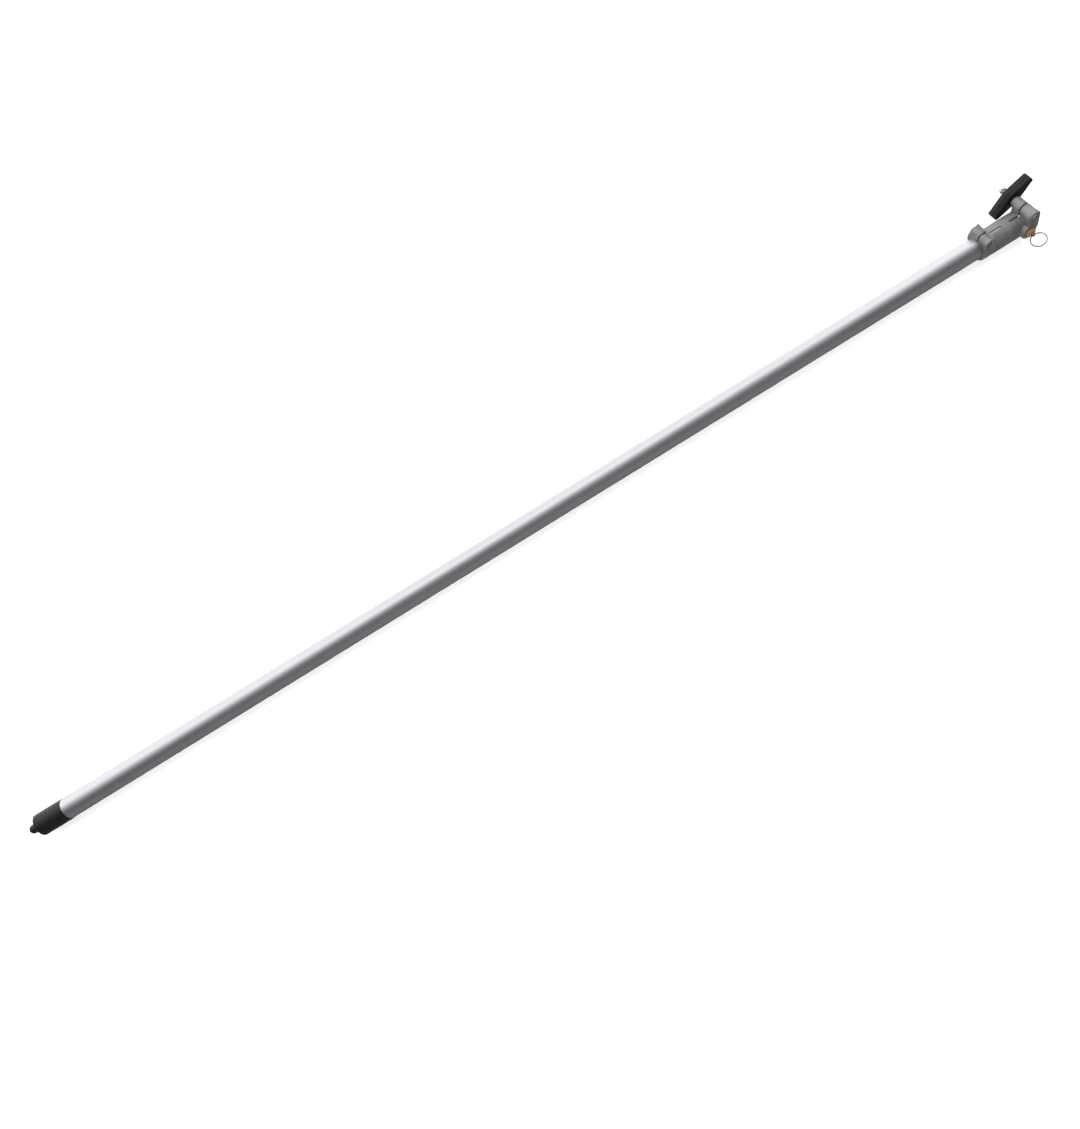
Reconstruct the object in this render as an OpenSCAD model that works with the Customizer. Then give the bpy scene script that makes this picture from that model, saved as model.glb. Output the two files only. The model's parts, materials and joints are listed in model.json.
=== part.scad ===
// Section of a telescopic window cleaning pole, lying on its side.
// An aluminium tube has a rubber cap at its lower end. A cast collar grips its upper end,
// and clamps the next, thinner section with a wing knob and a spring pull pin.

/* [Tube] */
// Outer diameter of the tube
tube_d = 34.9; // [34.5:0.1:35.2]
// Inner diameter of the tube, which is also the collar's bore
bore_d = 32; // [31.6:0.1:32.4]
// Length of the tube
tube_len = 1782; // [600:1:3000]

/* [End cap] */
// Length of the cap's sleeve on the tube, with its closed end
cap_len = 50; // [40:1:70]
// Thickness of the rubber over the tube
cap_wall = 0.8; // [0.6:0.1:2]
// Distance between grip ribs
rib_pitch = 8; // [6:0.5:10]
// Diameter of the nub on the cap's end
nub_d = 15; // [8:0.5:18]
// Length of the nub
nub_len = 18; // [6:1:22]

/* [Collar] */
// Length of the collar
collar_len = 94; // [90:1:110]
// Outer diameter of the collar's barrel
collar_d = 41.8; // [40:0.1:43]
// How far the barrel's centre lies below the tube's axis, away from the saw cut
barrel_drop = 1.5; // [0:0.1:1.5]
// Depth of the tube in the collar
socket_depth = 50; // [40:1:55]
// Width of the saw cut along the top
slot_w = 2.4; // [1:0.1:3]
// How far the saw cut lies from the tube's axis, towards the near side
slot_y = 1.4; // [0:0.1:3]
// Start and end of the bridge that divides the saw cut
bridge_start = 43.5; // [36:0.5:46]
bridge_end = 57.6; // [52:0.1:62]

/* [Big clamp bolt] */
// Distance of the bolt from the collar's lower end
bolt_x = 82.5; // [80:0.1:84]
// Height of the bolt over the tube's axis
bolt_z = 30; // [29.5:0.1:34]
// Diameter of the bolt
bolt_d = 6; // [5:0.5:6]
// Distance between threads of the bolt
bolt_pitch = 1; // [0.8:0.1:1.25]
// Radius of the round ears, at the saw cut
ear_r = 9.3; // [9:0.1:10.5]
// Outer faces of the near and far ears
ear_near = 25.7; // [24:0.1:27]
ear_far = 17; // [16:0.1:19]

/* [Wing knob] */
// Length over both wings
wing_span = 74; // [60:1:80]
// Width of the hub
hub_w = 30; // [24:1:32]
// Width of the wings' ends
wing_end_w = 10; // [8:1:14]
// Thickness of the knob along the bolt
knob_t = 18.9; // [16:0.1:24]
// Gap between the ears' far face and the wings
wing_gap = 4.3; // [4:0.1:6]
// Angle of the wings when the knob is tight
wing_angle = 40; // [0:1:90]
// Turns of the knob from tight to the stop nut
knob_turns = 8; // [2:0.5:10]

/* [Lower clamp screw] */
// Distance of the screw from the collar's lower end
screw_x = 6.3; // [6:0.1:7]
// Height of the screw over the tube's axis
screw_z = 23.4; // [23:0.1:24]
// Diameter of the screw
screw_d = 5; // [4:1:5]
// Outer faces of the near and far ears
screw_near = 20.5; // [18:0.5:22]
screw_far = 18.5; // [17:0.5:20]

/* [Pull pin] */
// Distance of the pin from the collar's lower end
pin_x = 80.7; // [79:0.1:83]
// Diameter of the pin's nose
pin_d = 6; // [5:0.5:7]
// How far the nose stands into the bore
pin_reach = 4.5; // [3:0.5:6]
// Stroke of the pin
pin_stroke = 5.5; // [5:0.1:6]
// Width across flats of the brass body
hex_af = 14; // [13:1:18]
// Outer diameter of the split ring
ring_d = 25.5; // [20:0.5:30]
// Thickness of the ring
ring_wire = 1.8; // [1.2:0.1:2.4]
// Turn of the ring's plane from the pole towards the ears
ring_angle = 14; // [0:1:45]

/* [Pose] */
// Roll of the collar about the tube as the pole lies on the floor
lie_roll = -27; // [-40:1:0]

/* [Hidden] */
$fn = 72;

// Clearances
RUNNING = 0.05;
CLEAR = 0.25;

// Lengths along the tube are measured from the collar's lower end face
grip_start = socket_depth + 1;
pin_relief = 4.2;
relief_r = bore_d / 2 + 0.8;
grip_end = pin_x - pin_relief;
grip_x = (grip_start + grip_end) / 2;
cap_floor = 6;
cap_gap = 1;
cap_rim_x = socket_depth - tube_len - cap_gap + cap_len - cap_floor;

// Stations of the pull pin, outwards from the tube's axis
pin_tip = bore_d / 2 - pin_reach;
body_start = 17.2;
guide_end = 19.4;
collar_t = 1.2;
spring_wire = 0.6;
spring_r = 3.2;
spring_turns = 5;
spring_slack = 1;
spring_start = guide_end + collar_t;
spring_end = spring_start + pin_stroke + spring_turns * spring_wire + spring_slack;
boss_face = 26;
boss_r = 13;
hex_t = 5;
body_r = 6;
chamber_r = 4;
bush_t = 2;
bush_end = spring_end + bush_t;
tail_r = 2;
ring_hole_u = bush_end + 2.2;
pin_end = ring_hole_u + 2.2;
ring_hole_r = ring_wire / 2 + 0.3;
ring_r = (ring_d - ring_wire) / 2;

// Stations along the big bolt
bolt_head_t = 4;
bolt_head_af = 10;
head_seat = ear_near - 1.2 - bolt_head_t;
washer_t = 1.2;
knob_start = ear_far + washer_t;
knob_end = knob_start + knob_t;
nut_t = 5;
knob_travel = knob_turns * bolt_pitch;
bolt_tip = knob_end + knob_travel + nut_t + 1;
insert_r = 5;

// Lower screw
screw_head_d = 8.5;
screw_head_t = 5;
screw_seat = screw_near - screw_head_t - 2;
nut_af = 8;
lower_nut_t = 4;
nut_seat = screw_far - lower_nut_t - 0.5;
screw_tip = screw_far - 0.3;

// Height at which the lower ears end inside the barrel
ear_root = -4;

cap_color = "#1d1d20";
cast_color = "#97938f";
tube_color = "#c9cbce";
zinc_color = "#d6d8d4";
knob_color = "#252329";
brass_color = "#c98a3a";
steel_color = "#bdbec2";

// Puts the assembly, drawn from the collar's lower end, in the lying pose,
// with the origin on the tube's axis in the middle of the collar's grip
module laid() {
    rotate([lie_roll, 0, 0]) translate([-grip_x, 0, 0]) children();
}

// Turns +Z to run along the tube, from x
module along_tube(x = 0) {
    translate([x, 0, 0]) rotate([0, 90, 0]) children();
}

// Turns +Z to run across the ears towards the knob, from y, over the point (x, z)
module across(x, z, y = 0) {
    translate([x, y, z]) rotate([-90, 0, 0]) children();
}

// Turns +Z to run outwards along the pull pin, from u
module along_pin(u = 0) {
    translate([pin_x, 0, 0]) rotate([90, 0, 0]) translate([0, 0, u]) children();
}

// Extrudes a profile drawn in x and z across the ears, from y0 to y1
module ear_block(y0, y1) {
    translate([0, y1, 0]) rotate([90, 0, 0]) linear_extrude(y1 - y0) children();
}

// Points of an arc about c
function arc(c, r, from, to, steps = 10) =
    [for (i = [0 : steps]) let (a = from + (to - from) * i / steps) c + r * [cos(a), sin(a)]];

module hexagon(af, h) {
    cylinder(d = af / cos(30), h = h, $fn = 6);
}

module outer_tube() {
    color(tube_color) laid() along_tube(socket_depth - tube_len)
        difference() {
            cylinder(d = tube_d, h = tube_len);
            translate([0, 0, -1]) cylinder(d = bore_d, h = tube_len + 2);
        }
}

// Rubber cap: a sleeve with grip ribs, a closed end and a round nub
module end_cap() {
    cap_r = tube_d / 2 + cap_wall;
    nub_r = nub_d / 2;
    edge = 4;
    groove = 0.5;
    half_gap = 1.2;
    recess = 1.5;
    recess_r = bore_d / 2 - 3;
    ribs = floor((cap_len - edge) / rib_pitch);
    color(cap_color) laid() translate([cap_rim_x, 0, 0]) rotate([0, -90, 0])
        difference() {
            rotate_extrude() polygon(concat(
                [[0, 0], [cap_r, 0]],
                [for (i = [1 : ribs], p = [[0, -half_gap], [-groove, -half_gap + groove],
                                           [-groove, half_gap - groove], [0, half_gap]])
                    [cap_r + p[0], i * rib_pitch + p[1]]],
                arc([cap_r - edge, cap_len - edge], edge, 0, 90, 8),
                [[nub_r, cap_len]],
                arc([0, cap_len + nub_len - nub_r], nub_r, 0, 90, 12)));
            translate([0, 0, -1]) cylinder(d = tube_d, h = cap_len - cap_floor + 1);
            // Shallow recess in the floor, inside the tube's end
            cylinder(r = recess_r, h = cap_len - cap_floor + recess);
        }
}

// Lower ears along the tube: a round lobe, a notch and a taller fin behind it
module lower_ear_side() {
    lobe_r = 7;
    lobe_z = 22.3;
    notch = [11.5, 26.4];
    fin = [[11.9, 30.4], [12.8, 31.2], [13.8, 31.2], [14.6, 30.2]];
    back = [[16, 24], [19, 17]];
    polygon(concat(arc([lobe_r, lobe_z], lobe_r, 180, 55), [notch], fin, back,
                   [[19, ear_root], [0, ear_root]]));
}

// Lower ears across the tube: flat sides, the far one with a foot
module lower_ear_front() {
    round_r = 5.5;
    top = 31.3;
    foot_y = screw_far + 2.2;
    polygon(concat(
        [[-screw_near, ear_root]],
        arc([-screw_near + round_r, top - round_r], round_r, 180, 90, 6),
        [[screw_far, top], [screw_far, 19], [foot_y, 15], [foot_y, 8], [15, ear_root]]));
}

// Profile of the upper ears' webs, down to the barrel
module upper_ear_profile() {
    step_in = 1.5;
    root_z = 8;
    root_t = 2;
    web_start = bolt_x - ear_r + step_in;
    hull() {
        translate([bolt_x, bolt_z]) circle(ear_r - step_in);
        translate([web_start, root_z]) square([collar_len - web_start, root_t]);
    }
}

// Profile of the plate on the near ear's face
module plate_profile() {
    rim = 1;
    foot = [bolt_x + 4.5, 6];
    foot_r = 8;
    hull() {
        translate([bolt_x, bolt_z]) circle(ear_r + rim);
        translate(foot) circle(foot_r);
    }
}

module clamp_body() {
    barrel_r = collar_d / 2;
    edge = 2;
    draft = 0.7;
    plate_t = 7;
    color(cast_color) laid() difference() {
        union() {
            translate([0, 0, -barrel_drop]) {
                along_tube() cylinder(r1 = barrel_r - edge, r2 = barrel_r, h = edge);
                along_tube(edge) cylinder(r = barrel_r, h = collar_len - edge);
            }
            intersection() {
                ear_block(-30, 30) lower_ear_side();
                along_tube(-1) rotate([0, 0, 90]) linear_extrude(30) lower_ear_front();
            }
            across(bolt_x, bolt_z, -slot_y) cylinder(r1 = ear_r, r2 = ear_r - draft, h = slot_y + ear_far);
            across(bolt_x, bolt_z, -ear_near)
                cylinder(r1 = ear_r + draft, r2 = ear_r, h = ear_near - slot_y);
            ear_block(-ear_near + plate_t, ear_far - 2) upper_ear_profile();
            ear_block(-ear_near, -ear_near + plate_t) plate_profile();
            along_pin() cylinder(r = boss_r, h = boss_face);
        }
        // Socket of the tube, the bore of the grip and the relief around the pin
        along_tube(-1) cylinder(d = tube_d, h = socket_depth + 2);
        along_tube(-1) cylinder(d = bore_d, h = collar_len + 2);
        along_tube(grip_end) cylinder(r = relief_r, h = 2 * pin_relief);
        // Saw cuts
        translate([-1, -slot_y - slot_w / 2, 0]) cube([bridge_start + 1, slot_w, 60]);
        translate([bridge_end, -slot_y - slot_w / 2, 0]) cube([collar_len, slot_w, 60]);
        // Big bolt's hole, and the recess that holds its head
        across(bolt_x, bolt_z, -ear_near - 1) cylinder(d = bolt_d + 2 * CLEAR, h = 60);
        across(bolt_x, bolt_z, -ear_near - 1)
            hexagon(bolt_head_af + 0.2, 1 + ear_near - head_seat);
        // Lower screw's hole and the recess of its head
        across(screw_x, screw_z, -screw_near - 1) cylinder(d = screw_d + 2 * CLEAR, h = 50);
        across(screw_x, screw_z, -screw_near - 4)
            cylinder(d = screw_head_d + 1, h = 4 + screw_near - screw_seat);
        // Pocket that holds the lower nut
        across(screw_x, screw_z, nut_seat) hexagon(nut_af + 0.2, 20);
        // Pull pin's hole
        along_pin(8) cylinder(r = pin_d / 2 + 0.5, h = 20);
        along_pin(body_start) cylinder(r = body_r, h = 20);
    }
}

module clamp_bolt() {
    color(zinc_color) laid() {
        across(bolt_x, bolt_z, -head_seat - bolt_head_t) hexagon(bolt_head_af, bolt_head_t);
        across(bolt_x, bolt_z, -head_seat) cylinder(d = bolt_d, h = head_seat + bolt_tip);
    }
}

module knob_washer() {
    color(zinc_color) laid() across(bolt_x, bolt_z, ear_far) difference() {
        cylinder(r = 8, h = washer_t);
        translate([0, 0, -1]) cylinder(d = bolt_d + 2 * RUNNING, h = washer_t + 2);
    }
}

// Two tapering wings about a wide hub, with the wings' backs clear of the collar
module wing_knob() {
    tip_r = 2.5;
    relief = wing_gap - washer_t;
    color(knob_color) laid() across(bolt_x, bolt_z, knob_start) rotate([0, 0, -wing_angle])
        difference() {
            union() {
                translate([0, 0, relief]) linear_extrude(knob_t - relief)
                    offset(tip_r) offset(-tip_r) polygon([
                        [wing_span / 2, wing_end_w / 2], [0, hub_w / 2],
                        [-wing_span / 2, wing_end_w / 2], [-wing_span / 2, -wing_end_w / 2],
                        [0, -hub_w / 2], [wing_span / 2, -wing_end_w / 2]]);
                cylinder(r = 10, h = knob_t);
            }
            translate([0, 0, -1]) cylinder(r = insert_r, h = knob_t + 2);
        }
}

module knob_insert() {
    color(brass_color) laid() across(bolt_x, bolt_z, knob_start) difference() {
        cylinder(r = insert_r, h = knob_t);
        translate([0, 0, -1]) cylinder(d = bolt_d + 2 * RUNNING, h = knob_t + 2);
    }
}

// Nut with a round bore over a bolt of diameter d
module nut(af, d, h) {
    difference() {
        hexagon(af, h);
        translate([0, 0, -1]) cylinder(d = d, h = h + 2);
    }
}

module stop_nut() {
    color(zinc_color) laid() across(bolt_x, bolt_z, knob_end + knob_travel)
        nut(bolt_head_af, bolt_d, nut_t);
}

module lower_screw() {
    hex_af_in = 4;
    hex_depth = 2.5;
    color(zinc_color) laid() difference() {
        union() {
            across(screw_x, screw_z, -screw_seat - screw_head_t)
                cylinder(d = screw_head_d, h = screw_head_t);
            across(screw_x, screw_z, -screw_seat) cylinder(d = screw_d, h = screw_seat + screw_tip);
        }
        across(screw_x, screw_z, -screw_seat - screw_head_t - 1) hexagon(hex_af_in, hex_depth + 1);
    }
}

module lower_nut() {
    color(zinc_color) laid() across(screw_x, screw_z, nut_seat)
        nut(nut_af, screw_d, lower_nut_t);
}

module plunger_body() {
    color(brass_color) laid() difference() {
        union() {
            along_pin(body_start) cylinder(r = body_r, h = boss_face - body_start);
            along_pin(boss_face) hexagon(hex_af, hex_t);
        }
        along_pin(body_start - 1) cylinder(d = pin_d + 2 * RUNNING, h = 10);
        along_pin(guide_end) cylinder(r = chamber_r, h = 20);
    }
}

// Plug that closes the spring's chamber and guides the pin's tail
module plunger_bush() {
    color(brass_color) laid() difference() {
        union() {
            along_pin(spring_end) cylinder(r = chamber_r, h = bush_t);
            along_pin(boss_face + hex_t) cylinder(r = chamber_r + 1.2, h = bush_end - boss_face - hex_t);
        }
        along_pin(spring_end - 1) cylinder(r = tail_r + RUNNING, h = bush_t + 2);
    }
}

module pull_pin() {
    color(steel_color) laid() difference() {
        union() {
            along_pin(pin_tip) cylinder(r1 = pin_d / 2 - 1, r2 = pin_d / 2, h = 1);
            along_pin(pin_tip + 1) cylinder(d = pin_d, h = guide_end - pin_tip - 1);
            along_pin(guide_end) cylinder(r = chamber_r - 0.15, h = collar_t);
            along_pin(spring_start) cylinder(r = tail_r, h = pin_end - spring_start);
        }
        along_pin(ring_hole_u) rotate([0, 90, ring_angle])
            cylinder(r = ring_hole_r, h = 20, center = true);
    }
}

// Spring as stacked rings, one for each turn
module pin_spring() {
    step = (spring_end - spring_start - spring_wire) / (spring_turns - 1);
    color(steel_color) laid() for (i = [0 : spring_turns - 1])
        along_pin(spring_start + spring_wire / 2 + i * step)
            rotate_extrude() translate([spring_r, 0]) circle(d = spring_wire, $fn = 16);
}

module split_ring() {
    color(steel_color) laid() along_pin(ring_hole_u) rotate([0, 0, ring_angle])
        translate([0, 0, ring_r]) rotate([90, 0, 0])
            rotate_extrude() translate([ring_r, 0]) circle(d = ring_wire, $fn = 24);
}

outer_tube();
end_cap();
clamp_body();
clamp_bolt();
knob_washer();
wing_knob();
knob_insert();
stop_nut();
lower_screw();
lower_nut();
plunger_body();
plunger_bush();
pull_pin();
pin_spring();
split_ring();
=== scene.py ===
import json
from math import atan2, ceil, cos, hypot, pi, radians, sin, tan

import bmesh
import bpy
from mathutils import Matrix, Vector, noise


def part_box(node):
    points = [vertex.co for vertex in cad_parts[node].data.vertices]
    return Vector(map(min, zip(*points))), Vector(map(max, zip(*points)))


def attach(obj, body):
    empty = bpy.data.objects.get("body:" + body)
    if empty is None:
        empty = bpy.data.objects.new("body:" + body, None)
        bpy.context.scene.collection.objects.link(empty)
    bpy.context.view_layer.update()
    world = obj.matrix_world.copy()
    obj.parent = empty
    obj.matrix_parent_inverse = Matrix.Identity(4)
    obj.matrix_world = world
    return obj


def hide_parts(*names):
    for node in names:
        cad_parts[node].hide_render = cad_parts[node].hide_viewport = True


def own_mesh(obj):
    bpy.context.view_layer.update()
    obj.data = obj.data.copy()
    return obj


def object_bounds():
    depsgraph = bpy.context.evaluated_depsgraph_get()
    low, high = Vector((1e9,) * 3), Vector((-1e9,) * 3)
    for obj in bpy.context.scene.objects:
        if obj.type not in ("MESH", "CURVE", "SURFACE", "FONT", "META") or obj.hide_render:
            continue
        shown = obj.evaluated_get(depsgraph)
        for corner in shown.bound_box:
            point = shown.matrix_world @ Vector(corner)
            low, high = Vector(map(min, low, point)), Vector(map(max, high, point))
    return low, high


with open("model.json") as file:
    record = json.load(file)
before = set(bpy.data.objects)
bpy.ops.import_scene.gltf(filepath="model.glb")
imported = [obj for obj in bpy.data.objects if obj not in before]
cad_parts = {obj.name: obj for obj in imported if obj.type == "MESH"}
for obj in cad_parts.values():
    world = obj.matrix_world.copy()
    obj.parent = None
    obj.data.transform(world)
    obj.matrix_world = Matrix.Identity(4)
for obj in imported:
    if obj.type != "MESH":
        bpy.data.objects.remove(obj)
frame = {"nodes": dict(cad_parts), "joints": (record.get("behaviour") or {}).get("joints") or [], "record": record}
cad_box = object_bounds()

# ---------------------------------------------------------------- The collar's frame
# Shapes are drawn in millimetres in the collar's own frame: x along the pole from the
# collar's lower end, y across the ears towards the knob, z up through the ears.
MM = 0.001
joints = {j["name"]: j for j in frame["joints"]}
mounts = {m["name"]: m for m in frame["record"]["mounts"]}
ALONG = Vector((1, 0, 0))
ACROSS = Vector(joints["knob_turn"]["axis"])
UP = ALONG.cross(ACROSS)
collar_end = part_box("clamp_body")[0].x
to_row = (Matrix.Translation((collar_end, 0, 0)) @ Matrix((ALONG, ACROSS, UP)).transposed().to_4x4()
          @ Matrix.Scale(MM, 4))
to_collar = to_row.inverted()


def span(node):
    """Lowest and highest corner of a CAD node in the collar's frame."""
    points = [to_collar @ v.co for v in frame["nodes"][node].data.vertices]
    return Vector(map(min, zip(*points))), Vector(map(max, zip(*points)))


def axes(x, y, z, at=(0, 0, 0)):
    """Matrix that turns a shape's own axes to x, y and z and puts its origin at a point."""
    return Matrix.Translation(at) @ Matrix((x, y, z)).transposed().to_4x4()


# ---------------------------------------------------------------- Sizes
tube_low, tube_high = span("outer_tube")
TUBE_R = tube_high.y
BORE_R = mounts["next_section_clamp"]["dims"]["r_mm"]
SOCKET_END = tube_high.x + 1

cap_low, cap_high = span("end_cap")
CAP_R = cap_high.y
CAP_RIM = cap_high.x
NUB_R = 7.5
NUB_LEN = 18
CAP_LEN = CAP_RIM - cap_low.x - NUB_LEN
RIB_PITCH = 8
RIB_DEPTH = 0.5
RIB_GAP = 3.4
CAP_FLOOR = 6
CAP_RECESS = 1.5
CAP_RECESS_R = BORE_R - 3

collar_high = span("clamp_body")[1]
SLOT_W = 2.4
SLOT_Y = 1.4
BRIDGE = (43.5, 57.6)

bolt_at = to_collar @ Vector(joints["knob_turn"]["pos_m"])
bolt_low, bolt_high = span("clamp_bolt")
BOLT_R = 3
PITCH = 1
THREAD_DEPTH = 0.55
HEX_AF = 10
BOLT_HEAD_T = 4
washer_low, washer_high = span("knob_washer")
knob_low, knob_high = span("wing_knob")
insert_low, insert_high = span("knob_insert")
nut_low, nut_high = span("stop_nut")

WING_SPAN = 74
WING_END = 10
HUB_W = 30
HUB_R = 10
WING_RELIEF = 3.1
WING_ANGLE = 40
INSERT_R = 5

screw_low, screw_high = span("lower_screw")
SCREW_R = 2.5
SCREW_PITCH = 0.8
SCREW_HEAD_R = 4.25
SCREW_HEAD_T = 5
SCREW_SOCKET_AF = 4
SCREW_SOCKET_T = 2.5
SCREW_NUT_AF = 8
lower_nut_low, lower_nut_high = span("lower_nut")

pin_low, pin_high = span("pull_pin")
PIN_X = (pin_low.x + pin_high.x) / 2
PIN_R = 3
TAIL_R = 2
PLUNGER_R = 6
CHAMBER_R = 4
PLUNGER_AF = 14
plunger_low, plunger_high = span("plunger_body")
bush_low, bush_high = span("plunger_bush")
spring_low, spring_high = span("pin_spring")
SPRING_WIRE = 0.6
SPRING_COILS = 6
ring_at = to_collar @ Vector(joints["ring_swing"]["pos_m"])
RING_WIRE = 1.8
RING_R = 11.75
PIN_COLLAR_T = 1.2
FINE = 96
RUNNING = 0.05
CHAMFER_SLOPE = tan(radians(30))
FLAT_SHARE = 0.94


# ---------------------------------------------------------------- Mesh helpers
def soften(points, radius, closed=True, steps=4):
    """Rounds the corners of an outline. radius is one number, or one for each corner."""
    count = len(points)
    radii = radius if isinstance(radius, (list, tuple)) else [radius] * count
    made = []
    for i, corner in enumerate(points):
        if not closed and i in (0, count - 1) or not radii[i]:
            made.append(tuple(corner))
            continue
        here, before, after = Vector(corner), Vector(points[i - 1]), Vector(points[(i + 1) % count])
        start = here + (before - here).normalized() * min(radii[i], (before - here).length * 0.48)
        end = here + (after - here).normalized() * min(radii[i], (after - here).length * 0.48)
        for k in range(steps + 1):
            t = k / steps
            made.append(tuple(start * (1 - t) ** 2 + here * 2 * t * (1 - t) + end * t ** 2))
    return made


def circle(r, z, count=FINE):
    return [Vector((r * cos(2 * pi * i / count), r * sin(2 * pi * i / count), z)) for i in range(count)]


def hex_radius(af, angle):
    """Distance from a hexagon's centre to its edge, with a corner at angle 0."""
    return af / 2 / cos((angle % (pi / 3)) - pi / 6)


def hexagon(af, z, fall=0, flat_r=0, count=FINE):
    """Ring round a hexagon. With a fall, its corners drop as a chamfer's cone cuts them."""
    ring = []
    for i in range(count):
        angle = 2 * pi * i / count
        r = hex_radius(af, angle)
        ring.append(Vector((r * cos(angle), r * sin(angle), z + fall * max(0, r - flat_r))))
    return ring


def skin(rings, hollow=False):
    """Surface through rings of equal count. A hollow one joins its last ring to its first."""
    bm = bmesh.new()
    rows = [[bm.verts.new(p) for p in ring] for ring in rings]
    count = len(rows[0])
    pairs = list(zip(rows, rows[1:])) + ([(rows[-1], rows[0])] if hollow else [])
    for a, b in pairs:
        for i in range(count):
            j = (i + 1) % count
            bm.faces.new((a[i], a[j], b[j], b[i]))
    if not hollow:
        bm.faces.new(rows[0])
        bm.faces.new(rows[-1])
    bmesh.ops.remove_doubles(bm, verts=bm.verts, dist=1e-5)
    bmesh.ops.dissolve_degenerate(bm, edges=bm.edges, dist=1e-6)
    bmesh.ops.recalc_face_normals(bm, faces=bm.faces)
    return bm


def lathe(profile, hollow=False, count=FINE):
    """Turned shape from a profile of radius and height."""
    return skin([circle(r, z, count) for r, z in profile], hollow)


def thread(r, start, end, pitch=PITCH, steps=8, count=FINE):
    """Rings of a right-hand thread from start to end. It fades out towards both ends."""
    rings = []
    flank = 0.42
    total = ceil((end - start) / pitch * steps)
    for k in range(total + 1):
        z = start + (end - start) * k / total
        fade = min(1, (z - start) / pitch, (end - z) / pitch)
        depth = THREAD_DEPTH * pitch * fade
        ring = []
        for i in range(count):
            phase = (z / pitch - i / count) % 1
            groove = depth * max(0, 1 - abs(phase - 0.5) / flank)
            ring.append(Vector(((r - groove) * cos(2 * pi * i / count),
                                (r - groove) * sin(2 * pi * i / count), z)))
        rings.append(ring)
    return rings


def sweep(path, section, normal_of):
    """Carries a section along a path. normal_of gives the section's second axis at each point."""
    rings = []
    for i, p in enumerate(path):
        tangent = (path[min(i + 1, len(path) - 1)] - path[max(i - 1, 0)]).normalized()
        second = normal_of(i).normalized()
        first = second.cross(tangent).normalized()
        second = tangent.cross(first)
        rings.append([p + first * a + second * b for a, b in section])
    return skin(rings)


def piece(name, bm, at, body, node, slot, sharp=35):
    """Makes a mesh a visible piece: puts it in the row, on its body, in place of its CAD node."""
    bm.transform(to_row @ at)
    mesh = bpy.data.meshes.new(name)
    bm.to_mesh(mesh)
    bm.free()
    obj = bpy.data.objects.new(name, mesh)
    bpy.context.scene.collection.objects.link(obj)
    shade(obj, sharp)
    obj.data.materials.append(materials[slot])
    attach(obj, body)
    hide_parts(node)
    return obj


def shade(obj, sharp):
    obj.data.shade_smooth()
    obj.data.set_sharp_from_angle(angle=radians(sharp))


def apply_modifiers(obj):
    """Turns what the modifiers show into the object's own mesh."""
    graph = bpy.context.evaluated_depsgraph_get()
    mesh = bpy.data.meshes.new_from_object(obj.evaluated_get(graph))
    obj.modifiers.clear()
    obj.data = mesh


def cut(obj, cutters):
    """Takes closed shapes, drawn in the collar's frame, out of an object."""
    for i, bm in enumerate(cutters):
        bm.transform(to_row)
        mesh = bpy.data.meshes.new(f"cutter_{i}")
        bm.to_mesh(mesh)
        bm.free()
        cutter = bpy.data.objects.new(f"cutter_{i}", mesh)
        bpy.context.scene.collection.objects.link(cutter)
        modifier = obj.modifiers.new("cut", "BOOLEAN")
        modifier.operation = "DIFFERENCE"
        modifier.solver = "EXACT"
        modifier.object = cutter
        bpy.context.view_layer.update()
        apply_modifiers(obj)
        bpy.data.objects.remove(cutter)


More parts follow.
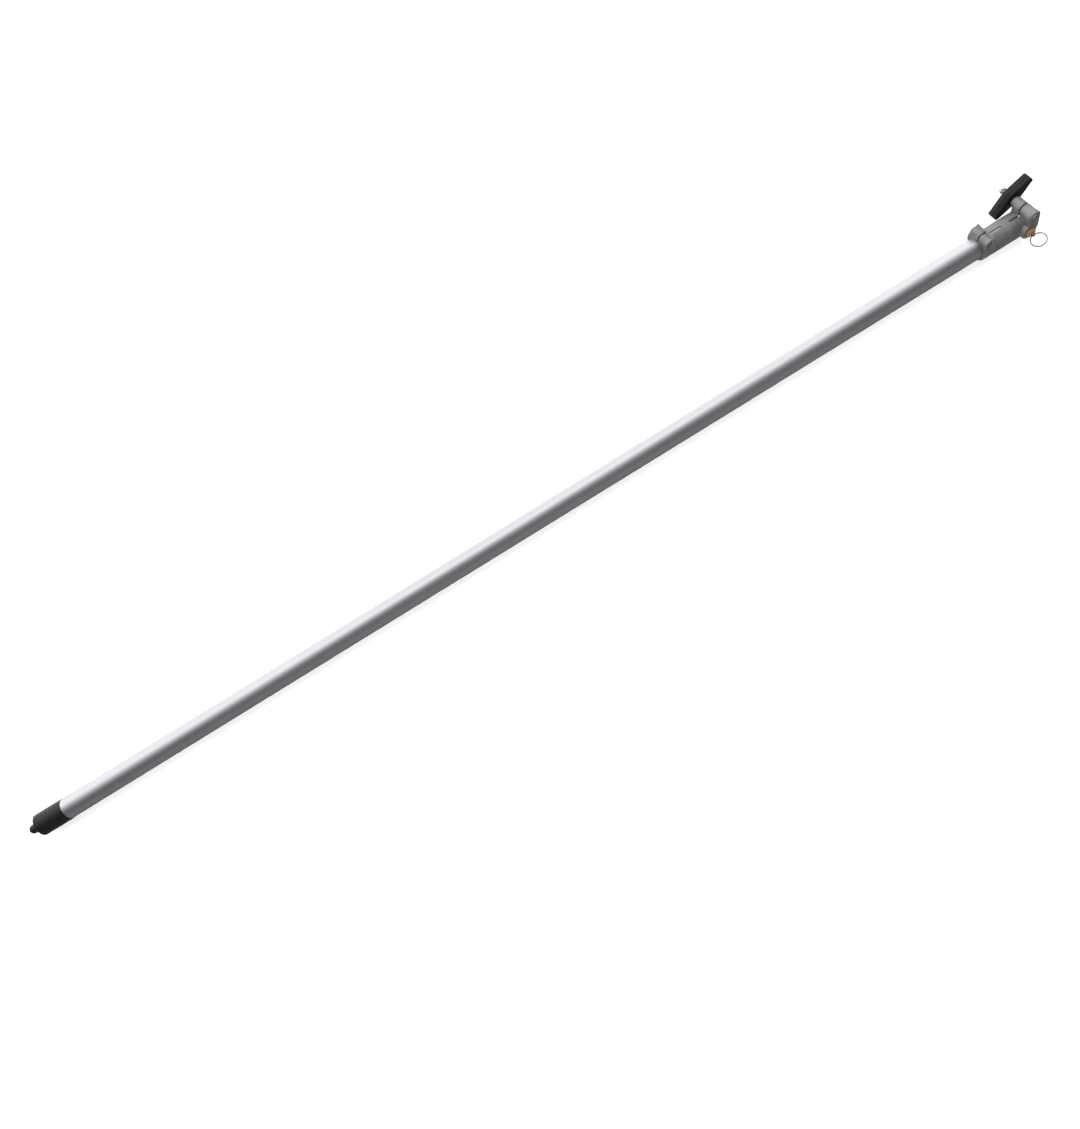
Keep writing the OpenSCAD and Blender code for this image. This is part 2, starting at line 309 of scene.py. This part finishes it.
# ---------------------------------------------------------------- Materials
def surface(name, tones, metallic, rough, grain, bump, stretch=(1, 1, 1), edge_highlight=0, coat=0):
    """Principled surface. Noise of a given grain, in metres, varies its tone, gloss and relief.

    tones are the dark and the light colour, rough the lowest and highest roughness, bump the
    relief's height in metres, stretch scales the grain along the row's axes, and the edge
    setting lightens outer edges as a painted highlight."""
    mat = bpy.data.materials.new(name)
    mat.use_nodes = True
    nodes, links = mat.node_tree.nodes, mat.node_tree.links
    shader = nodes["Principled BSDF"]
    shader.inputs["Metallic"].default_value = metallic
    shader.inputs["Coat Weight"].default_value = coat
    shader.inputs["Coat Roughness"].default_value = 0.2

    where = nodes.new("ShaderNodeTexCoord")
    place = nodes.new("ShaderNodeMapping")
    place.inputs["Scale"].default_value = stretch
    links.new(where.outputs["Object"], place.inputs["Vector"])

    def noise_at(size, detail):
        made = nodes.new("ShaderNodeTexNoise")
        made.inputs["Scale"].default_value = 1 / size
        made.inputs["Detail"].default_value = detail
        links.new(place.outputs["Vector"], made.inputs["Vector"])
        return made.outputs["Fac"]

    fine = noise_at(grain, 5)
    broad = noise_at(grain * 14, 3)

    ramp = nodes.new("ShaderNodeValToRGB")
    ramp.color_ramp.elements[0].position = 0.36
    ramp.color_ramp.elements[0].color = (*tones[0], 1)
    ramp.color_ramp.elements[1].position = 0.64
    ramp.color_ramp.elements[1].color = (*tones[1], 1)
    blend = nodes.new("ShaderNodeMath")
    blend.operation = "MULTIPLY_ADD"
    blend.inputs[1].default_value = 0.45
    share = nodes.new("ShaderNodeMath")
    share.operation = "MULTIPLY"
    share.inputs[1].default_value = 0.55
    links.new(broad, share.inputs[0])
    links.new(fine, blend.inputs[0])
    links.new(share.outputs[0], blend.inputs[2])
    links.new(blend.outputs[0], ramp.inputs["Fac"])
    colour = ramp.outputs["Color"]

    # Painted highlight: outer edges, found by pointiness, are lightened towards a brighter copy of the light tone.
    if edge_highlight:
        geometry = nodes.new("ShaderNodeNewGeometry")
        edge = nodes.new("ShaderNodeMapRange")
        edge.inputs["From Min"].default_value = 0.53
        edge.inputs["From Max"].default_value = 0.62
        edge.inputs["To Max"].default_value = edge_highlight
        links.new(geometry.outputs["Pointiness"], edge.inputs["Value"])
        lighten = nodes.new("ShaderNodeMix")
        lighten.data_type = "RGBA"
        lighten.inputs["B"].default_value = (*[min(1, c * 1.7) for c in tones[1]], 1)
        links.new(edge.outputs["Result"], lighten.inputs["Factor"])
        links.new(colour, lighten.inputs["A"])
        colour = lighten.outputs["Result"]
    links.new(colour, shader.inputs["Base Color"])

    gloss = nodes.new("ShaderNodeMapRange")
    gloss.inputs["From Min"].default_value = 0.3
    gloss.inputs["From Max"].default_value = 0.7
    gloss.inputs["To Min"].default_value, gloss.inputs["To Max"].default_value = rough
    links.new(broad, gloss.inputs["Value"])
    links.new(gloss.outputs["Result"], shader.inputs["Roughness"])

    relief = nodes.new("ShaderNodeBump")
    relief.inputs["Distance"].default_value = bump
    links.new(fine, relief.inputs["Height"])
    links.new(relief.outputs["Normal"], shader.inputs["Normal"])
    return mat


# The cast metal and the black plastic get a painted highlight on their outer edges.
materials = {
    "silver_tube": surface("silver_tube", ((0.74, 0.75, 0.77), (0.84, 0.85, 0.87)), 1, (0.3, 0.38),
                           0.0011, 0.00002, stretch=(0.03, 1, 1)),
    "black_rubber": surface("black_rubber", ((0.007, 0.007, 0.008), (0.015, 0.015, 0.017)), 0,
                            (0.26, 0.36), 0.0006, 0.00005),
    "cast_metal": surface("cast_metal", ((0.26, 0.255, 0.26), (0.4, 0.39, 0.395)), 0.6, (0.46, 0.6),
                          0.0011, 0.0003, edge_highlight=0.5),
    "zinc_steel": surface("zinc_steel", ((0.76, 0.77, 0.78), (0.88, 0.89, 0.9)), 0.75, (0.25, 0.36),
                          0.0012, 0.00003),
    "black_plastic": surface("black_plastic", ((0.006, 0.005, 0.008), (0.012, 0.01, 0.015)), 0,
                             (0.46, 0.56), 0.0005, 0.00005, edge_highlight=0.12),
    "brass": surface("brass", ((0.74, 0.42, 0.14), (0.92, 0.62, 0.28)), 0.6, (0.2, 0.3),
                     0.001, 0.00002),
    "bright_steel": surface("bright_steel", ((0.22, 0.22, 0.23), (0.32, 0.32, 0.33)), 1, (0.2, 0.28),
                            0.001, 0.00001),
}

# ---------------------------------------------------------------- Tube and cap
X, Y, Z = Vector((1, 0, 0)), Vector((0, 1, 0)), Vector((0, 0, 1))
along_tube = axes(-Z, Y, X)

tube_wall = [(BORE_R, tube_low.x), (TUBE_R, tube_low.x), (TUBE_R, tube_high.x), (BORE_R, tube_high.x)]
piece("tube", lathe(soften(tube_wall, 0.45), hollow=True, count=128), along_tube,
      "pole", "outer_tube", "silver_tube")


def rib_groove(z):
    """Depth of the grooves between the cap's grip ribs."""
    near = abs((z + RIB_PITCH / 2) % RIB_PITCH - RIB_PITCH / 2)
    inside = RIB_PITCH / 2 < z < CAP_LEN - RIB_PITCH / 2 and near < RIB_GAP / 2
    return RIB_DEPTH * cos(pi / 2 * near / (RIB_GAP / 2)) ** 2 if inside else 0


def cap_profile():
    floor = CAP_LEN - CAP_FLOOR
    corner = 4
    step = 0.25
    rim = soften([(TUBE_R, floor), (TUBE_R, 0), (CAP_R, 0), (CAP_R, step * 8)], [0, 0.25, 0.5, 0],
                 closed=False)
    side = [(CAP_R - rib_groove(step * k), step * k) for k in range(9, int((CAP_LEN - corner) / step))]
    dome_z = CAP_LEN + NUB_LEN - NUB_R
    end = soften([(CAP_R, CAP_LEN - corner), (CAP_R, CAP_LEN), (NUB_R, CAP_LEN), (NUB_R, dome_z)],
                 [0, corner, 1.6, 0], closed=False, steps=8)
    dome = [(NUB_R * cos(a), dome_z + NUB_R * sin(a)) for a in [pi / 2 * k / 12 for k in range(1, 13)]]
    recess = [(0, floor + CAP_RECESS), (CAP_RECESS_R, floor + CAP_RECESS), (CAP_RECESS_R, floor)]
    return recess + rim + side + end + dome


piece("rubber_cap", lathe(cap_profile()), axes(Z, Y, -X, at=(CAP_RIM, 0, 0)),
      "pole", "end_cap", "black_rubber", sharp=60)


# ---------------------------------------------------------------- Cast collar
def block(low, high):
    bm = bmesh.new()
    bmesh.ops.create_cube(bm, size=1)
    size = Vector(high) - Vector(low)
    bm.transform(Matrix.Translation((Vector(low) + Vector(high)) / 2) @ Matrix.Diagonal((*size, 1)))
    return bm


def rod(r, start, end):
    bm = lathe([(r, start), (r, end)])
    bm.transform(along_tube)
    return bm


def saw_cut(start, end):
    height = 60
    return block((start, -SLOT_Y - SLOT_W / 2, 0), (end, -SLOT_Y + SLOT_W / 2, height))


def cast_collar():
    """The CAD collar with the soft edges of a casting, and its machined cuts made sharp again."""
    grain = 0.0006
    wobble = 0.00008
    obj = bpy.data.objects.new("cast_collar", frame["nodes"]["clamp_body"].data.copy())
    bpy.context.scene.collection.objects.link(obj)
    obj.data.materials.clear()
    remesh = obj.modifiers.new("remesh", "REMESH")
    remesh.mode = "VOXEL"
    remesh.voxel_size = grain
    relax = obj.modifiers.new("relax", "SMOOTH")
    relax.factor = 0.5
    relax.iterations = 5
    apply_modifiers(obj)
    moved = [v.co + v.normal * wobble * noise.noise(v.co * 260) for v in obj.data.vertices]
    obj.data.vertices.foreach_set("co", [c for co in moved for c in co])
    obj.data.update()
    beyond = collar_high.x + 1
    cut(obj, [rod(BORE_R, -1, beyond), rod(TUBE_R, -1, SOCKET_END),
              saw_cut(-1, BRIDGE[0]), saw_cut(BRIDGE[1], beyond)])
    thin = obj.modifiers.new("thin", "DECIMATE")
    thin.ratio = 0.45
    apply_modifiers(obj)
    shade(obj, 38)
    obj.data.materials.append(materials["cast_metal"])
    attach(obj, "pole")
    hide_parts("clamp_body")
    return obj


cast_collar()


# ---------------------------------------------------------------- Big bolt, washer and nut
def at_bolt(y):
    return axes(X, -Z, Y, at=(bolt_at.x, y, bolt_at.z))


def bolt():
    length = bolt_high.y - bolt_low.y
    flat = HEX_AF / 2 * FLAT_SHARE
    chamfer = 0.6
    rings = [circle(flat * 0.5, 0.15), circle(flat, 0)]
    rings += [hexagon(HEX_AF, 0, fall=CHAMFER_SLOPE, flat_r=flat), hexagon(HEX_AF, BOLT_HEAD_T)]
    rings += [circle(BOLT_R, BOLT_HEAD_T), circle(BOLT_R, washer_low.y - bolt_low.y - 6)]
    rings += thread(BOLT_R, washer_low.y - bolt_low.y - 5, length - chamfer)
    rings += [circle(BOLT_R - chamfer, length)]
    return skin(rings)


def washer():
    height = washer_high.y - washer_low.y
    r = washer_high.x - bolt_at.x
    bore = BOLT_R + RUNNING
    return lathe(soften([(bore, 0), (r, 0), (r, height), (bore, height)], 0.3), hollow=True)


def lock_nut():
    """Hexagon nut with a domed locking collar on its outer end."""
    height = nut_high.y - nut_low.y
    flat = HEX_AF / 2 * FLAT_SHARE
    hex_top = height * 0.7
    slope = CHAMFER_SLOPE
    dome_r = HEX_AF / 2 * 0.88
    return skin([
        circle(BOLT_R, 0.3), circle(BOLT_R + 0.4, 0), circle(flat, 0),
        hexagon(HEX_AF, 0, fall=slope, flat_r=flat), hexagon(HEX_AF, hex_top, fall=-slope, flat_r=flat),
        circle(dome_r, hex_top + 0.1), circle(dome_r, height - 0.9),
        circle(dome_r - 0.25, height - 0.35),
        circle(dome_r - 0.8, height), circle(BOLT_R + 0.5, height), circle(BOLT_R, height - 0.5)],
        hollow=True)


piece("clamp_bolt_threaded", bolt(), at_bolt(bolt_low.y), "pole", "clamp_bolt", "zinc_steel")
piece("washer", washer(), at_bolt(washer_low.y), "washer", "knob_washer", "zinc_steel")
piece("lock_nut", lock_nut(), at_bolt(nut_low.y), "pole", "stop_nut", "zinc_steel", sharp=25)


# ---------------------------------------------------------------- Wing knob
def inset(ring, amount, z):
    """Outline moved inwards by an amount and put at height z."""
    made = []
    count = len(ring)
    for i, p in enumerate(ring):
        along = Vector(ring[(i + 1) % count]) - Vector(ring[i - 1])
        inward = Vector((-along.y, along.x)).normalized()
        made.append(Vector((p[0] + inward.x * amount, p[1] + inward.y * amount, z)))
    return made


def knob():
    """Two tapering wings about a hub, with rounded edges and a mould's parting line."""
    height = knob_high.y - knob_low.y
    edge = 1.5
    seam = 0.14
    half, end, hub = WING_SPAN / 2, WING_END / 2, HUB_W / 2
    corners = [(half, -end), (half, end), (0, hub), (-half, end), (-half, -end), (0, -hub)]
    outline = soften(corners, [2.5, 2.5, 1.6, 2.5, 2.5, 1.6], steps=8)

    dense = []
    for i, p in enumerate(outline):
        q = outline[(i + 1) % len(outline)]
        parts = max(1, round(hypot(q[0] - p[0], q[1] - p[1]) / 3))
        dense += [(p[0] + (q[0] - p[0]) * k / parts, p[1] + (q[1] - p[1]) * k / parts)
                  for k in range(parts)]

    def hub_ring(r, z):
        return [Vector((r * cos(atan2(p[1], p[0])), r * sin(atan2(p[1], p[0])), z)) for p in dense]

    quarter = [pi / 2 * k / 5 for k in range(6)]
    rings = [hub_ring(INSERT_R, 0), hub_ring(HUB_R - 0.6, 0), hub_ring(HUB_R, 0.6),
             hub_ring(HUB_R, WING_RELIEF - 0.4), hub_ring(HUB_R + 0.4, WING_RELIEF)]
    rings += [inset(dense, seam + edge * (1 - sin(a)), WING_RELIEF + edge * (1 - cos(a)))
              for a in quarter]
    middle = (WING_RELIEF + height) / 2
    rings += [inset(dense, seam, middle - 0.3), inset(dense, 0, middle),
              inset(dense, seam, middle + 0.3)]
    rings += [inset(dense, seam + edge * (1 - cos(a)), height - edge * (1 - sin(a))) for a in quarter]
    rings += [hub_ring(INSERT_R + 1.2, height), hub_ring(INSERT_R, height - 0.3)]
    return skin(rings, hollow=True)


def insert():
    height = insert_high.y - insert_low.y
    bore = BOLT_R + RUNNING
    return lathe(soften([(bore, 0), (INSERT_R, 0), (INSERT_R, height), (bore, height)], 0.4),
                 hollow=True)


piece("knob", knob(), at_bolt(knob_low.y) @ Matrix.Rotation(radians(-WING_ANGLE), 4, "Z"),
      "knob", "wing_knob", "black_plastic")
piece("knob_bush", insert(), at_bolt(insert_low.y), "knob", "knob_insert", "brass")


# ---------------------------------------------------------------- Lower screw
def at_screw(y):
    return axes(X, -Z, Y, at=((screw_low.x + screw_high.x) / 2, y, (screw_low.z + screw_high.z) / 2))


def socket_screw():
    """Cap screw with a hexagon socket and a knurled head."""
    length = screw_high.y - screw_low.y
    knurls = 32

    def head(r, z, knurl=0):
        return [Vector(((r - knurl * (i * knurls * 2 // FINE % 2)) * cos(2 * pi * i / FINE),
                        (r - knurl * (i * knurls * 2 // FINE % 2)) * sin(2 * pi * i / FINE), z))
                for i in range(FINE)]

    rings = [circle(1, SCREW_SOCKET_T + 0.5), hexagon(SCREW_SOCKET_AF, SCREW_SOCKET_T),
             hexagon(SCREW_SOCKET_AF, 0.3), hexagon(SCREW_SOCKET_AF + 0.6, 0)]
    rings += [head(SCREW_HEAD_R - 0.7, 0), head(SCREW_HEAD_R - 0.1, 0.6),
              head(SCREW_HEAD_R, 0.9, 0.15), head(SCREW_HEAD_R, SCREW_HEAD_T - 0.6, 0.15),
              head(SCREW_HEAD_R - 0.1, SCREW_HEAD_T - 0.3), head(SCREW_HEAD_R - 0.3, SCREW_HEAD_T)]
    rings += [circle(SCREW_R, SCREW_HEAD_T), circle(SCREW_R, SCREW_HEAD_T + 10)]
    rings += thread(SCREW_R, SCREW_HEAD_T + 11, length - 0.6, SCREW_PITCH)
    rings += [circle(SCREW_R - 0.6, length)]
    return skin(rings)


def plain_nut(height):
    flat = SCREW_NUT_AF / 2 * FLAT_SHARE
    slope = CHAMFER_SLOPE
    return skin([
        circle(SCREW_R, 0.4), circle(SCREW_R + 0.45, 0), circle(flat, 0),
        hexagon(SCREW_NUT_AF, 0, fall=slope, flat_r=flat),
        hexagon(SCREW_NUT_AF, height, fall=-slope, flat_r=flat),
        circle(flat, height), circle(SCREW_R + 0.45, height), circle(SCREW_R, height - 0.4)],
        hollow=True)


piece("socket_screw", socket_screw(), at_screw(screw_low.y), "pole", "lower_screw", "zinc_steel",
      sharp=28)
piece("screw_nut", plain_nut(lower_nut_high.y - lower_nut_low.y), at_screw(lower_nut_low.y),
      "pole", "lower_nut", "zinc_steel", sharp=25)

# ---------------------------------------------------------------- Pull pin
# Stations run outwards from the tube's axis, the way the pin is pulled.
at_pin = axes(X, Z, -Y, at=(PIN_X, 0, 0))
body_start, hex_end = -plunger_high.y, -plunger_low.y
guide_end = -spring_high.y - PIN_COLLAR_T
hex_start = 26  # the boss's outer face
tail_end = -pin_low.y
pin_tip = -pin_high.y
bush_start, bush_end = -bush_high.y, -bush_low.y


def plunger():
    """Brass body: a round shank in the collar and a chamfered hexagon outside it."""
    flat = PLUNGER_AF / 2 * 0.95
    slope = CHAMFER_SLOPE
    bore = PIN_R + RUNNING
    return skin([
        circle(bore, body_start), circle(PLUNGER_R - 0.4, body_start),
        circle(PLUNGER_R, body_start + 0.4),
        circle(PLUNGER_R, hex_start), hexagon(PLUNGER_AF, hex_start),
        hexagon(PLUNGER_AF, hex_end, fall=-slope, flat_r=flat), circle(flat, hex_end),
        circle(CHAMBER_R + 0.2, hex_end), circle(CHAMBER_R, hex_end - 0.2),
        circle(CHAMBER_R, guide_end), circle(bore, guide_end)], hollow=True)


def bush():
    flange = bush_high.x - PIN_X
    bore = TAIL_R + RUNNING
    return lathe(
        [(bore, bush_start), (CHAMBER_R, bush_start), (CHAMBER_R, hex_end)]
        + soften([(flange, hex_end), (flange, bush_end), (bore, bush_end)], [0, 0.5, 0], closed=False)
        + [(bore, bush_end - 0.1)], hollow=True)


def pin():
    """Turned pin with a chamfered nose, a collar for the spring and a rounded tail."""
    return lathe([(0, pin_tip), (PIN_R - 1, pin_tip), (PIN_R, pin_tip + 1), (PIN_R, guide_end - 0.2),
                  (CHAMBER_R - 0.3, guide_end), (CHAMBER_R - 0.15, guide_end + 0.2),
                  (CHAMBER_R - 0.15, guide_end + 1.1), (CHAMBER_R - 0.3, guide_end + 1.2),
                  (TAIL_R, guide_end + 1.2), (TAIL_R, tail_end - 0.7), (TAIL_R - 0.2, tail_end - 0.3),
                  (TAIL_R - 0.7, tail_end), (0, tail_end)])


def coil_spring():
    """Compression spring with closed ends."""
    r = spring_high.x - PIN_X - SPRING_WIRE / 2
    start, end = -spring_high.y + SPRING_WIRE / 2, -spring_low.y - SPRING_WIRE / 2
    steps = 40
    total = SPRING_COILS * steps
    path = []
    for i in range(total + 1):
        turn = i / steps
        rise = min(max((turn - 0.75) / (SPRING_COILS - 1.5), 0), 1)
        wire_rise = SPRING_WIRE * 0.5 * (min(turn, 0.75) + min(max(turn - SPRING_COILS + 0.75, 0), 0.75))
        z = start + wire_rise + (end - start - SPRING_WIRE * 0.75) * rise
        path.append(Vector((r * cos(2 * pi * turn), r * sin(2 * pi * turn), z)))
    section = [(SPRING_WIRE / 2 * cos(pi / 5 * k), SPRING_WIRE / 2 * sin(pi / 5 * k))
               for k in range(10)]
    return sweep(path, section, lambda i: Z)


ring_side = to_collar.to_3x3() @ Vector(joints["ring_swing"]["axis"])
ring_side.normalize()
ring_normal = (-Y).cross(ring_side)


def split_ring():
    """Two turns of flattened wire that lie against each other and step over once."""
    centre = ring_at - Y * RING_R
    steps = 72
    wire = RING_WIRE / 2
    ends = 0.06
    path = []
    for i in range(int(steps * (2 - ends)) + 1):
        turn = i / steps + ends / 2
        step_over = min(max((turn - 0.93) / 0.14, 0), 1)
        offset = wire * (step_over * step_over * (3 - 2 * step_over) - 0.5)
        angle = 2 * pi * turn + radians(115)
        path.append(centre + (-Y * cos(angle) + ring_side * sin(angle)) * RING_R + ring_normal * offset)
    half = wire / 2 - 0.02
    wide = wire - 0.1
    section = soften([(-wide, -half), (wide, -half), (wide, half), (-wide, half)], 0.3, steps=3)
    return sweep(path, section, lambda i: ring_normal)


piece("brass_plunger", plunger(), at_pin, "pole", "plunger_body", "brass", sharp=25)
piece("brass_bush", bush(), at_pin, "pole", "plunger_bush", "brass")
pin_piece = piece("pin", pin(), at_pin, "pin", "pull_pin", "bright_steel")
hole = lathe([(RING_WIRE / 2 + 0.3, -6), (RING_WIRE / 2 + 0.3, 6)], count=32)
hole.transform(axes(ring_normal, -Y, ring_side, at=ring_at))
cut(pin_piece, [hole])
shade(pin_piece, 35)
spring_piece = piece("coil_spring", coil_spring(), at_pin, "pole", "pin_spring", "bright_steel")
piece("key_ring", split_ring(), Matrix(), "ring", "split_ring", "bright_steel", sharp=50)

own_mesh(spring_piece)


# ---------------------------------------------------------------- Floor, light and camera
low, high = cad_box
floor_mesh = bpy.data.meshes.new("floor")
FLOOR_HALF = 30
floor_z = low.z - 0.0002
floor_mesh.from_pydata([(x * FLOOR_HALF, y * FLOOR_HALF, floor_z) for x, y in
                        ((-1, -1), (1, -1), (1, 1), (-1, 1))], [], [(0, 1, 2, 3)])
floor = bpy.data.objects.new("floor", floor_mesh)
bpy.context.scene.collection.objects.link(floor)
paper = bpy.data.materials.new("paper")
paper.use_nodes = True
paper.node_tree.nodes["Principled BSDF"].inputs["Base Color"].default_value = (0.9, 0.9, 0.9, 1)
paper.node_tree.nodes["Principled BSDF"].inputs["Roughness"].default_value = 0.9
floor.data.materials.append(paper)
floor.visible_glossy = False

# The sky is bright towards +Y, the side that the soft key light is on
world = bpy.data.worlds.new("studio")
bpy.context.scene.world = world
world.use_nodes = True
sky_nodes, sky_links = world.node_tree.nodes, world.node_tree.links
direction = sky_nodes.new("ShaderNodeTexCoord")
split = sky_nodes.new("ShaderNodeSeparateXYZ")
sky_ramp = sky_nodes.new("ShaderNodeValToRGB")
sky_links.new(direction.outputs["Generated"], split.inputs["Vector"])
side = sky_nodes.new("ShaderNodeMapRange")
side.inputs["From Min"].default_value = -1
sky_links.new(split.outputs["Y"], side.inputs["Value"])
sky_links.new(side.outputs["Result"], sky_ramp.inputs["Fac"])
SKY = ((0, 0.2), (0.3, 0.12), (0.5, 0.23), (0.73, 0.68), (0.87, 1.25), (1, 0.95))
stops = sky_ramp.color_ramp.elements
while len(stops) < len(SKY):
    stops.new(0.5)
for stop, (at, level) in zip(stops, SKY):
    stop.position = at
    stop.color = (level, level, level * 1.01, 1)
sky_links.new(sky_ramp.outputs["Color"], sky_nodes["Background"].inputs["Color"])
sky_nodes["Background"].inputs["Strength"].default_value = 1.0

centre = (low + high) / 2
KEY_TILT = 35
KEY_AWAY = 3.2
key_data = bpy.data.lights.new("key", "AREA")
key_data.shape = "RECTANGLE"
key_data.size = 6
key_data.size_y = 3
key_data.energy = 100
key = bpy.data.objects.new("key", key_data)
key.location = centre + Vector((0, sin(radians(KEY_TILT)), cos(radians(KEY_TILT)))) * KEY_AWAY
key.rotation_euler = (-radians(KEY_TILT), 0, 0)
key.visible_glossy = False
bpy.context.scene.collection.objects.link(key)

# A light for the paper alone keeps the floor pale and the shadows on it soft
paper_only = bpy.data.collections.new("paper_only")
paper_only.objects.link(floor)
paper_data = bpy.data.lights.new("paper_light", "SUN")
paper_data.energy = 2.6
paper_data.use_shadow = False
paper_light = bpy.data.objects.new("paper_light", paper_data)
paper_light.visible_glossy = False
paper_light.light_linking.receiver_collection = paper_only
bpy.context.scene.collection.objects.link(paper_light)

CAMERA_BACK = 0.8487
CAMERA_SIDE = -0.064
CAMERA_HEIGHT = 1.5
CAMERA_TURN = -31.67
CAMERA_LENS = 30.2
camera_data = bpy.data.cameras.new("camera")
camera_data.lens = CAMERA_LENS
camera_data.sensor_width = 36
camera = bpy.data.objects.new("camera", camera_data)
camera.location = (collar_end - CAMERA_BACK, CAMERA_SIDE, CAMERA_HEIGHT)
camera.rotation_euler = (0, 0, radians(CAMERA_TURN))
bpy.context.scene.collection.objects.link(camera)
bpy.context.scene.camera = camera
bpy.context.scene.view_settings.view_transform = "Standard"
